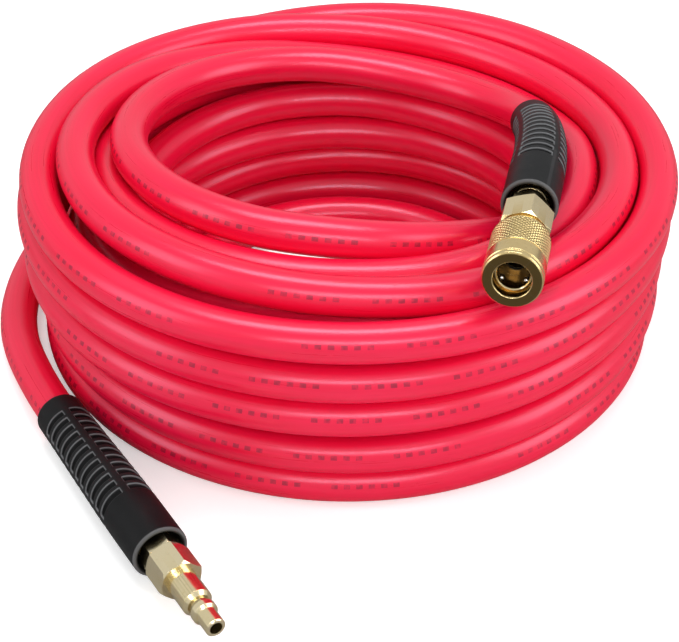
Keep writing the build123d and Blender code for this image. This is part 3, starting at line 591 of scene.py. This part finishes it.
def restrictor(name, node, tail_point, tail_dir, step, mouth, axis, roll):
    """Tapered rubber sleeve with four panels of slots across it, straight at the front."""
    bend = mouth - GRIP_STRAIGHT * axis
    curve, headings, _ = arc(tail_point, tail_dir, bend, step)
    curve, headings = np.vstack([curve, bend]), np.vstack([headings, axis])
    along = np.concatenate([[0], np.cumsum(np.linalg.norm(np.diff(curve, axis=0), axis=1))])
    length = along[-1]
    tail = -GRIP_STRAIGHT - length

    # closed outline: lip, tapered outside, nose, then back through the bore
    reach = SLOT_W / 2 + SLOT_MARGIN
    rows = [np.linspace(tail + LIP_R, SLOT_FIRST - 2.2, 10)]
    rows += [c + np.linspace(-reach, reach, 17) for c in SLOTS]
    rows.append(np.linspace(SLOT_LAST + 2.3, -1.3, 14))

    def outside(q):
        return GRIP_TAIL_R + GRIP_TAPER * np.clip((q - tail) / length, 0, 1)

    outer = []
    for a in np.linspace(0.12, math.pi / 2 - 0.1, 5):
        q = tail + LIP_R * (1 - math.cos(a))
        outer.append((q, outside(q) - LIP_R * (1 - math.sin(a))))
    outer += [(q, outside(q)) for q in np.concatenate(rows)]
    outer += [(NOSE_R * (math.sin(a) - 1), GRIP_R - NOSE_R * (1 - math.cos(a)))
              for a in np.linspace(0, math.pi / 2 - 0.08, 6)]
    bore = FRONT_BORE + [(q, 8.1) for q in np.linspace(-36, tail + 0.8, 10)]
    bore += [(tail + 0.3, 8.18), (tail + 0.02, 8.5)]
    s, radius = np.array(outer + bore).T

    # centre and heading of each row
    straight = s > -GRIP_STRAIGHT
    P, T = np.zeros((len(s), 3)), np.zeros((len(s), 3))
    P[straight], T[straight] = mouth + s[straight, None] * axis, axis
    for k in range(3):
        P[~straight, k] = np.interp(s[~straight] - tail, along, curve[:, k])
        T[~straight, k] = np.interp(s[~straight] - tail, along, headings[:, k])
    T /= np.linalg.norm(T, axis=1)[:, None]

    columns = 208
    turn = angles(columns) - math.radians(roll)
    R = np.repeat(radius[:, None], columns, 1)
    off_strip = np.mod(turn[None], math.pi / 2)
    off_strip = np.minimum(off_strip, math.pi / 2 - off_strip)
    panel = smooth((np.sin(off_strip) * PANEL_R - STRIP_W / 2) / 0.55 + 0.3)
    on_outside = np.arange(len(s)) < len(outer)
    cut = np.zeros(len(s))
    for c in SLOTS:
        cut = np.maximum(cut, smooth((SLOT_W / 2 + 0.12 - np.abs(s - c)) / 0.34))
    cut[~on_outside] = 0
    R -= SLOT_DEPTH * cut[:, None] * panel

    # a raised seam down each of two opposite strips
    seam = np.minimum(*[np.abs(np.angle(np.exp(1j * (turn - half)))) for half in (0, math.pi)])
    q = s[on_outside]
    ends = smooth((q - tail - 1) / 2)[:, None] * smooth((-1.2 - q) / 2)[:, None]
    R[on_outside] += SEAM_H * np.exp(-(seam * PANEL_R / SEAM_W) ** 2)[None] * ends
    R[on_outside] = np.minimum(R[on_outside], GRIP_R)
    verts, faces = grid(P, *axes_of(T), R, loop_rows=True)
    # slot depth and mouth rim, for the grip material's painted highlight on lips and rim and
    # painted shade in the slots
    moulding = np.zeros((len(verts), 3))
    moulding[:, 0] = (cut[:, None] * panel).ravel()
    moulding[:, 1] = np.repeat((on_outside & (s > -0.75)).astype(float), columns)
    mesh(name, verts, faces, M_GRIP, "hose_assembly", node,
         {"moulding": moulding})


restrictor("coupler_end_grip", "coupler_end_bend_restrictor", COUPLER_TAIL, coupler_tail_dir,
           step=0.5, mouth=COUPLER_MOUTH, axis=COUPLER_AXIS, roll=52)
restrictor("plug_end_grip", "plug_end_bend_restrictor", plug_tail, PLUG_AXIS,
           step=4.0, mouth=PLUG_MOUTH, axis=PLUG_AXIS, roll=5)

# ------------------------------------------------------------ knurled release sleeve
BALL_R, BALL_OFFSET, BALL_S = 1.5875, 6.61, 50.5    # a ball's radius and its centre's place
CONE_SLOPE, CONE_GAP = 0.3, 0.03
BORE_R, NARROW_R, WIDE_R, RING_R = 9.06, 8.06, 9.36, 9.85
CONE_R = BALL_OFFSET + BALL_R * math.sqrt(1 + CONE_SLOPE ** 2) + CONE_GAP   # at BALL_S
# (radius, s), closed: outside from back to front, then back through the bore
SLEEVE = [
    (BORE_R, 30.0), (SLEEVE_R - 0.8, 30.0), (KNURL_R, 30.7), (KNURL_R, 48.0),
    (SLEEVE_R - 0.6, 48.05), (SLEEVE_R - 0.6, 48.6), (SLEEVE_R, 49.0), (SLEEVE_R, 56.9),
    (SLEEVE_R - 0.45, 57.3), (SLEEVE_R - 0.45, 57.7), (SLEEVE_R - 0.1, 58.0),
    (SLEEVE_R - 0.1, 59.6), (SLEEVE_R - 0.8, 60.3), (7.45, 60.3), (7.15, 60.0),
    (7.15, 59.4), (WIDE_R, 59.4), (WIDE_R, BALL_S + (WIDE_R - CONE_R) / CONE_SLOPE),
    (NARROW_R, BALL_S + (NARROW_R - CONE_R) / CONE_SLOPE), (NARROW_R, 47.5), (BORE_R, 47.5),
    (BORE_R, 36.95), (RING_R, 36.95), (RING_R, 35.85), (BORE_R, 35.85),
]
KNURLED_EDGE = 2                    # index of the outline point where the knurled edge starts
KNURL_DEPTH, KNURL_STEP = 0.52, 0.125


def rounded(outline, radius, dense_edge, dense_step, segments=3):
    """Closed outline with rounded, supported corners and one edge cut into short steps."""
    points = [np.array(p, float) for p in outline]
    out = []
    for i, corner in enumerate(points):
        before, after = points[i - 1], points[(i + 1) % len(points)]
        back, ahead = np.linalg.norm(before - corner), np.linalg.norm(after - corner)
        q = min(radius, 0.35 * back, 0.35 * ahead)
        to_back, to_ahead = (before - corner) / back, (after - corner) / ahead
        p0, p1 = corner + to_back * q, corner + to_ahead * q
        out.append(p0 + to_back * min(0.25 * q, 0.1 * back))
        for k in range(segments + 1):
            f = k / segments
            out.append((1 - f) ** 2 * p0 + 2 * f * (1 - f) * corner + f * f * p1)
        out.append(p1 + to_ahead * min(0.25 * q, 0.1 * ahead))
        if i == dense_edge:
            low, high = p1[1] + 0.3, after[1] - (q + 0.3)
            count = int((high - low) / dense_step)
            out += [np.array([corner[0], low + (high - low) * k / count])
                    for k in range(count + 1)]
    return np.array(out)


def knurl_cut(R, s, turn):
    """Depth of two crossed sets of 45 degree grooves on the half nearer the hose."""
    lead = TEETH / KNURL_R
    a, b = [np.abs(np.mod((TEETH * turn + way * lead * s) / math.pi, 2) - 1)
            for way in (1, -1)]
    depth = KNURL_DEPTH * np.maximum(smooth((0.5 - a) / 0.5), smooth((0.5 - b) / 0.5))
    fade = smooth((s - KNURL_START) / 0.5) * smooth((KNURL_END - s) / 0.5)
    return depth * fade * (R > KNURL_R - 0.1)


def release_sleeve():
    outline = rounded(SLEEVE, radius=0.16, dense_edge=KNURLED_EDGE, dense_step=KNURL_STEP)
    columns = TEETH * 14
    s = outline[:, 1:2]
    R = np.repeat(outline[:, :1], columns, 1)
    R = R - knurl_cut(R, s, angles(columns)[None])
    verts, faces = grid(COUPLER_MOUTH + s * COUPLER_AXIS, *axes_of(COUPLER_AXIS), R,
                        loop_rows=True)
    mesh("release_sleeve_knurled", verts, faces, M_SLEEVE, "coupler_sleeve",
         "coupler_sleeve")


release_sleeve()


# ------------------------------------------------------------ coil springs
def spring(name, node, body, mean, wire, start, end, turns):
    """Coil spring about the coupler's axis; mean and wire are radii, start and end are s."""
    count, sides = int(turns * 48), 12
    gap, tip = 0.02, 0.02           # clearance at the ends, tip radius in wire radii
    turn = np.linspace(0, 2 * math.pi * turns, count)
    s = np.linspace(start + wire + gap, end - wire - gap, count)
    x, y = axes_of(COUPLER_AXIS)
    radial = np.cos(turn)[:, None] * x + np.sin(turn)[:, None] * y
    P = COUPLER_MOUTH + s[:, None] * COUPLER_AXIS + mean * radial
    T = np.gradient(P, axis=0)
    T /= np.linalg.norm(T, axis=1)[:, None]
    N = -radial
    P, N, B = [np.vstack([rows[:1], rows, rows[-1:]]) for rows in (P, N, np.cross(T, N))]
    R = np.full((count + 2, sides), wire)
    R[[0, -1]] = wire * tip
    verts, faces = grid(P, N, B, R, loop_rows=False)
    faces = faces.tolist()
    for first, way in ((0, 1), ((count + 1) * sides, -1)):
        faces += [[first, first + j + 2, first + j + 1, first + j][::way]
                  for j in range(1, sides - 2, 2)]
    ob = mesh(name, verts, faces, M_SPRING, body, node)
    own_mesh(ob)


spring("sleeve_spring_coil", "sleeve_spring", "sleeve_spring",
       mean=8.53, wire=0.32, start=41.0, end=47.5, turns=3.5)
spring("valve_spring_coil", "valve_spring", "hose_assembly",
       mean=4.38, wire=0.33, start=27.0, end=36.9, turns=5)

# ------------------------------------------------------------ finishes of the CAD nodes
FINISHES = [
    (M_HOSE, "hose_cover"),
    (M_BRAID, "hose_braid"),
    (M_TUBE, "hose_inner_tube"),
    (M_GRIP, "coupler_end_bend_restrictor plug_end_bend_restrictor"),
    (M_COUPLER, "coupler_end_ferrule coupler_end_stem coupler_back_body coupler_body "
                "check_valve"),
    (M_PLUG, "plug_end_ferrule plug_end_stem air_plug"),
    (M_SLEEVE, "coupler_sleeve"),
    (M_SPRING, "sleeve_retaining_ring sleeve_spring valve_spring"),
    (M_SEAL, "body_seal socket_seal valve_seal"),
    (M_BALL, "locking_ball_1 locking_ball_2 locking_ball_3 locking_ball_4"),
]
finish_of = {name: material for material, names in FINISHES for name in names.split()}
for name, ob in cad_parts.items():
    ob.data.materials.clear()
    ob.data.materials.append(finish_of[name])


# ------------------------------------------------------------ floor, light, camera
def floor():
    """White sheet just under the hose, darker in reflections and self-lit to the camera."""
    half, z, n = 3, -0.0006, 24
    ticks = np.linspace(-half, half, n + 1)
    verts = [(x, y, z) for y in ticks for x in ticks]
    corners = [j * (n + 1) + i for j in range(n) for i in range(n)]
    me = bpy.data.meshes.new("floor")
    me.from_pydata(verts, [], [(k, k + 1, k + n + 2, k + n + 1) for k in corners])
    ob = bpy.data.objects.new("floor", me)
    bpy.context.scene.collection.objects.link(ob)
    n = Shader("floor_white")
    rays = n.node("LightPath").outputs
    white, reflected = (0.93, 0.93, 0.93), (0.05, 0.045, 0.04)
    n.set(Base_Color=n.mix(white, reflected, amount=n.times(rays["Is Glossy Ray"], 0.72)),
          Roughness=0.85, Specular_IOR_Level=0.1, Emission_Color=(1.0, 1.0, 1.0),
          Emission_Strength=n.times(rays["Is Camera Ray"], 0.42))
    me.materials.append(n.mat)


# name, place, aim, (width, height), power in watts
LIGHTS = [
    ("softbox_top", (0.0, 0.15, 1.35), (0, 0, 0.05), (0.95, 0.40), 8.6),
    ("softbox_right", (1.25, -0.35, 0.75), (0.05, 0.0, 0.05), (0.8, 0.9), 6.5),
    ("softbox_left", (-1.25, -0.45, 0.70), (-0.05, 0.0, 0.05), (0.7, 0.9), 4.5),
    ("softbox_front", (0.10, -1.25, 0.95), (0.0, -0.10, 0.05), (1.3, 0.16), 7.2),
]


def softbox(name, place, aim, size, power):
    lamp = bpy.data.lights.new(name, "AREA")
    lamp.shape = "RECTANGLE"
    lamp.size, lamp.size_y = size
    lamp.energy = power
    ob = bpy.data.objects.new(name, lamp)
    ob.location = place
    ob.rotation_euler = (Vector(aim) - Vector(place)).to_track_quat("-Z", "Y").to_euler()
    bpy.context.scene.collection.objects.link(ob)


def studio_world():
    """White room, brighter in reflections than for soft surfaces."""
    soft_strength, glossy_strength = 0.40, 0.62
    world = bpy.data.worlds.new("studio")
    bpy.context.scene.world = world
    world.use_nodes = True
    tree = world.node_tree
    background = tree.nodes["Background"]
    background.inputs[0].default_value = (1, 1, 1, 1)
    rays = tree.nodes.new("ShaderNodeLightPath")
    gain = tree.nodes.new("ShaderNodeMapRange")
    tree.links.new(rays.outputs["Is Glossy Ray"], gain.inputs[0])
    gain.inputs[3].default_value = soft_strength
    gain.inputs[4].default_value = glossy_strength
    tree.links.new(gain.outputs[0], background.inputs[1])


def camera():
    """Camera in front of the coil, looking back and down at it."""
    tilt_down = 36.34
    cam = bpy.data.cameras.new("camera")
    cam.sensor_fit = "HORIZONTAL"
    cam.sensor_width = 36.0
    cam.lens = 103.015378
    cam.shift_y = 0.00220913
    cam.clip_start, cam.clip_end = 0.05, 20
    ob = bpy.data.objects.new("camera", cam)
    ob.location = to_world(np.array([-3.087, -704.358, 512.52]))
    ob.rotation_euler = (math.radians(90 - tilt_down), 0, 0)
    bpy.context.scene.collection.objects.link(ob)
    bpy.context.scene.camera = ob


floor()
for row in LIGHTS:
    softbox(*row)
studio_world()
camera()
bpy.context.scene.view_settings.view_transform = "Standard"
bpy.context.scene.view_settings.look = "None"
